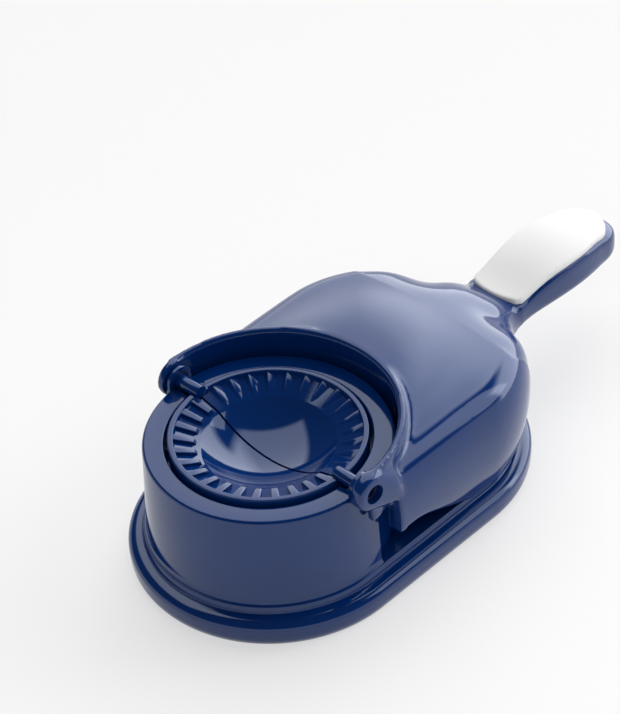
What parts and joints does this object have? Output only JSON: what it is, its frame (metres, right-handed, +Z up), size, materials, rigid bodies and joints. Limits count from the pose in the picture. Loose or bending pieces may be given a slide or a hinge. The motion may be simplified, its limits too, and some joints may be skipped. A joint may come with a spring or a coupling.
{
  "type": "empanada press",
  "caption": "Hand-operated empanada press: an oblong base with a round drum and folding crimping mould in front, a flip-over lid with a handle and a dough bed under it.",
  "frame": {"origin": "on the table, under the middle of the whole press", "axes": "+Z up, +Y along the handle towards its tip, +X to the right of someone who faces the mould"},
  "size_m": [0.1188, 0.2676, 0.0701],
  "materials": {
    "navy_gloss": "moulded ABS with a high gloss, deep navy",
    "navy_satin": "the same navy plastic with a fine satin texture",
    "insert_white": "glossy white inlay",
    "pad_grey": "matte food-safe pad",
    "foot_rubber": "soft black rubber",
    "screw_steel": "plain steel screws"
  },
  "bodies": {
    "base": {"base_shell": "navy_gloss", "base_cover": "navy_satin", "mould_drum": "navy_gloss", "front_mould_half": "navy_gloss", "dough_bed": "navy_satin", "dough_pad": "pad_grey", "foot_front_left": "foot_rubber", "foot_front_right": "foot_rubber", "foot_rear_left": "foot_rubber", "foot_rear_right": "foot_rubber", "cover_screws": "screw_steel"},
    "lid": {"lid_shell": "navy_gloss", "lid_liner": "navy_satin", "press_plate": "navy_satin", "handle_insert": "insert_white", "hinge_bush_left": "navy_gloss", "hinge_bush_right": "navy_gloss", "liner_screws": "screw_steel", "handle_screws": "screw_steel"},
    "flap": {"rear_mould_half": "navy_gloss"}
  },
  "joints": [
    {"name": "lid_hinge", "type": "hinge", "parent": "base", "child": "lid", "pos_m": [0, -0.07425, 0.06035], "axis": [1, 0, 0], "range_deg": [0, 180]},
    {"name": "mould_hinge", "type": "hinge", "parent": "base", "child": "flap", "pos_m": [0, -0.07425, 0.06035], "axis": [1, 0, 0], "range_deg": [0, 180]}
  ],
  "couplings": [
    {"joint": "mould_hinge", "follows": "lid_hinge", "ratio": 1}
  ]
}
